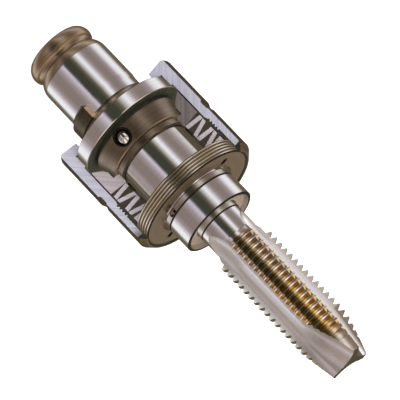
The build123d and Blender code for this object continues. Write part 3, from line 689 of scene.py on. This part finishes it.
def thread_finish(tree, where):
    """Tempered, from brown at the rear to straw yellow, and pale at the tip. The thin crests rub
    bright."""
    along = where["along"]
    brown = ground(tree, where, "#b09872", "#e0cdac", 0.05)
    straw = ground(tree, where, "#c79f58", "#f2d8a0", 0.05)
    pale = ground(tree, where, "#d0c2ae", "#e7dbc8", 0.1)
    crest = ground(tree, where, "#f3eee4", "#fdfaf2", 0.1)
    result = mixed(tree, fade_in(tree, along, THREAD_REAR_Z + 12.0, THREAD_REAR_Z + 34.0), brown, straw)
    result = mixed(tree, fade_in(tree, along, TAP_TIP_Z - 15.0, TAP_TIP_Z - 6.0), result, pale)
    return mixed(tree, inside(tree, where["radius"], THREAD_R - 0.12, FAR, 0.06), result, crest)


def flute_finish(tree, where):
    """Pale, with warm stripes of painted shade along the flutes. The flute on the -X side also has a
    painted highlight along it and a brown painted shadow at its bottom. Painted shade darkens the
    flutes where they run out, and they are duller where the point is ground. The one on the -X side
    is lapped there, and the ends of its teeth are worn brown."""
    along = where["along"]
    radius = where["radius"]
    angle = where["angle"]
    middle = ground(tree, where, "#dcdde2", "#eeeff3", 0.26, 0.62)
    run_out = ground(tree, where, "#c0bcba", "#d2cecc", 0.26, 0.62)
    painted_shade_finish = ground(tree, where, "#b6aca6", "#c8beb8", 0.28, 0.62)
    # A painted highlight and a brown painted shadow, for stripes of the flute on the -X side
    bright = ground(tree, where, "#f8f9fb", "#ffffff", 0.24, 0.62)
    bottom = ground(tree, where, "#5a4e3a", "#6e614a", 0.3, 0.62)
    lapped = ground(tree, where, "#c6c1c0", "#d8d3d2", 0.28, 0.7)
    point_rear = ground(tree, where, "#afa6a0", "#c8beb8", 0.3, 0.8)
    point_front = ground(tree, where, "#c4bab4", "#ddd3cd", 0.3, 0.8)
    worn = ground(tree, where, "#908478", "#a5998c", 0.3, 0.8)
    minus_x_side = inside(tree, angle, -180.0, -30.0)
    # Stripes of painted shade on the +X side of the flutes
    shaded_tracks = together(tree, [
        overlap(tree, [inside(tree, angle, 0.0, 180.0), inside(tree, radius, 6.6, 9.1, 0.5)]),
        overlap(tree, [inside(tree, angle, 0.0, 46.0, 6.0), inside(tree, radius, 0.0, 9.0)]),
    ])
    result = mixed(tree, shaded_tracks, middle, painted_shade_finish)
    # Painted shade where the flutes run out
    result = mixed(tree, fade_in(tree, along, THREAD_REAR_Z + 1.5, THREAD_REAR_Z + 8.5), run_out, result)
    point = mixed(tree, fade_in(tree, along, TAP_TIP_Z - 15.0, TAP_TIP_Z - 6.0), point_rear, point_front)
    point = mixed(tree, minus_x_side, point, lapped)
    result = mixed(tree, fade_in(tree, along, TAP_TIP_Z - 30.0, TAP_TIP_Z - 10.0), result, point)
    # Stripes of the flute on the -X side, between two distances from the axis, with soft edges: painted
    # shade, a painted highlight and a brown painted shadow at the bottom
    for low, high, soft, finish in [
        (9.3, 11.0, 0.5, painted_shade_finish),
        (7.1, 8.4, 0.4, bright),
        (0.0, 6.9, 0.15, bottom),
    ]:
        stripe = overlap(tree, [minus_x_side, inside(tree, radius, low, high, soft)])
        result = mixed(tree, stripe, result, finish)
    teeth_ends = overlap(tree, [
        minus_x_side,
        inside(tree, along, TAP_TIP_Z - 20.5, TAP_TIP_Z, 0.3),
        inside(tree, radius, LAND_R, FAR),
    ])
    return mixed(tree, teeth_ends, result, worn)


def tap_shank_finish(tree, where):
    """Ground, with a dark line of painted shade along the broken edge in front. The stretch inside
    the hood is browned.
    """
    edge = dark_edges(tree, where, [TAP_SHANK_FRONT_Z - 0.1])
    hooded = inside(tree, where["along"], NOSE_FRONT_Z - 1.5, TAP_SHANK_FRONT_Z - DARK_LINE_HALF_WIDTH, 0.15)
    result = mixed(tree, edge, ground(tree, where), blackened(tree, where))
    return mixed(tree, hooded, result, turned(tree, where, "#cdc4b3", "#e3dac9", 0.2))


def on_the_lands(tree, where):
    """1 outside the flutes. The walls of a flute face round the axis, or lie close to it."""
    normal = add(
        tree,
        "ShaderNodeVectorTransform",
        {"vector_type": "NORMAL", "convert_from": "WORLD", "convert_to": "OBJECT"},
        {0: add(tree, "ShaderNodeNewGeometry").outputs["Normal"]},
    )
    outward = add(tree, "ShaderNodeVectorMath", {"operation": "NORMALIZE"}, {0: where["offset"]})
    around = add(
        tree,
        "ShaderNodeVectorMath",
        {"operation": "CROSS_PRODUCT"},
        {0: outward.outputs[0], 1: (0.0, 0.0, 1.0)},
    )
    sideways = add(
        tree,
        "ShaderNodeVectorMath",
        {"operation": "DOT_PRODUCT"},
        {0: normal.outputs[0], 1: around.outputs[0]},
    )
    size = add(tree, "ShaderNodeMath", {"operation": "ABSOLUTE"}, {0: sideways.outputs["Value"]})
    return overlap(tree, [
        inside(tree, size.outputs[0], -1.0, 0.45),
        inside(tree, where["radius"], LAND_R, FAR),
    ])


def tap_finish(tree, where):
    """High-speed steel, ground all over. The end face of the point is painted black as shade."""
    along = where["along"]
    land = on_the_lands(tree, where)
    behind = overlap(tree, [land, inside(tree, along, 0.0, THREAD_REAR_Z - 2.5)])
    threaded = overlap(tree, [land, inside(tree, along, THREAD_REAR_Z - 2.5, TAP_TIP_Z - 0.1)])
    # The end face of the point, painted black as shade
    tip = inside(tree, along, TAP_TIP_Z - 0.05, FAR)
    result = mixed(tree, threaded, flute_finish(tree, where), thread_finish(tree, where))
    result = mixed(tree, behind, result, tap_shank_finish(tree, where))
    return mixed(tree, tip, result, blackened(tree, where, "#4a4434", "#635b47", 0.3))


SPRINGS = ["disc_spring_1", "disc_spring_2", "disc_spring_3", "disc_spring_4", "spring_seat"]
BALLS = ["clutch_ball_1", "clutch_ball_2", "clutch_ball_3", "lock_ball_1", "lock_ball_2", "lock_ball_3"]

MATERIALS = {
    "ground_and_browned_steel": (shank_finish, ["drive_shank"]),
    "ground_spindle_steel": (spindle_finish, ["spindle"]),
    "ground_sleeve_steel": (sleeve_finish, ["release_sleeve"]),
    "satin_turned_steel": (nose_front, ["sleeve_stop"]),
    # Bronze as the lathe left it, warm and satin
    "turned_bronze": (
        lambda tree, where: turned(tree, where, "#a8743a", "#c08a4a", 0.25),
        ["pilot_bush"],
    ),
    "black_oxide_steel": (housing_finish, ["housing"]),
    "shot_peened_spring_steel": (spring_finish, SPRINGS),
    "hardened_ring_steel": (thrust_finish, ["thrust_ring"]),
    "browned_nut_steel": (nut_finish, ["adjusting_nut"]),
    "tempered_stop_ring_steel": (stop_ring_finish, ["stop_ring"]),
    # Balls lapped to a mirror
    "polished_bearing_steel": (
        lambda tree, where: ground(tree, where, "#e2dfe2", "#eeecee", 0.05),
        BALLS,
    ),
    "black_oxide_small_steel": (blackened, ["stop_ring_grub_screw", "spindle_snap_ring", "sleeve_spring"]),
    "straw_tempered_tap_steel": (tap_finish, ["tap"]),
}

# The polished pieces mirror the studio and not these, so that their bands run clean to their edges
UNMIRRORED = SPRINGS + [
    "thrust_ring",
    "housing",
    "adjusting_nut",
    "spindle",
    "release_sleeve",
    "sleeve_stop",
]


def dress_nodes():
    """Gives each piece its material."""
    for name, (make_finish, names) in MATERIALS.items():
        material = finished(name, make_finish)
        for node_name in names:
            node = nodes[node_name]
            node.data.materials.clear()
            node.data.materials.append(material)
    for node_name in UNMIRRORED:
        nodes[node_name].visible_glossy = False


# Added pieces


def make_ball_rims():
    """Thin rims raised round the cage's three windows, which keep the balls from falling out."""
    bpy.ops.object.select_all(action="DESELECT")
    bpy.ops.mesh.primitive_torus_add(
        major_radius=RIM_R * MM,
        minor_radius=RIM_HALF_THICKNESS * MM,
        major_segments=72,
        minor_segments=12,
    )
    rim = bpy.context.object
    bpy.ops.object.mode_set(mode="EDIT")
    bpy.ops.mesh.select_all(action="SELECT")
    bpy.ops.transform.resize(value=(1.0, 1.0, 0.6))
    bpy.ops.object.mode_set(mode="OBJECT")
    # Bent to lie on the cage
    bend = rim.modifiers.new("bend", "SIMPLE_DEFORM")
    bend.deform_method = "BEND"
    bend.deform_axis = "Y"
    bend.angle = 2.0 * RIM_BEND_REACH / CAGE_R_AT_BALL
    bpy.ops.object.modifier_apply(modifier="bend")
    bpy.ops.object.shade_smooth()
    rim.data.materials.append(finished("blackened_rim_steel", blackened))
    rims = [rim]
    for _ in BALL_ANGLES[1:]:
        bpy.ops.object.duplicate()
        rims.append(bpy.context.object)
    for number, (rim, angle) in enumerate(zip(rims, BALL_ANGLES), 1):
        bpy.ops.object.select_all(action="DESELECT")
        rim.select_set(True)
        bpy.context.view_layer.objects.active = rim
        turn = math.radians(angle)
        rim.rotation_euler = (math.radians(90.0 - CAGE_SLOPE), 0.0, turn)
        rim.location = (
            CAGE_R_AT_BALL * math.sin(turn) * MM,
            -CAGE_R_AT_BALL * math.cos(turn) * MM,
            BALL_Z * MM,
        )
        bpy.ops.object.transform_apply(location=True, rotation=True, scale=True)
        rim.name = f"ball_rim_{number}"
        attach(rim, "drive")


make_camera()
make_studio()
make_key_light()
make_floor()
dress_nodes()
make_ball_rims()
# Colours are shown as they are, with no film curve
bpy.context.scene.view_settings.view_transform = "Standard"
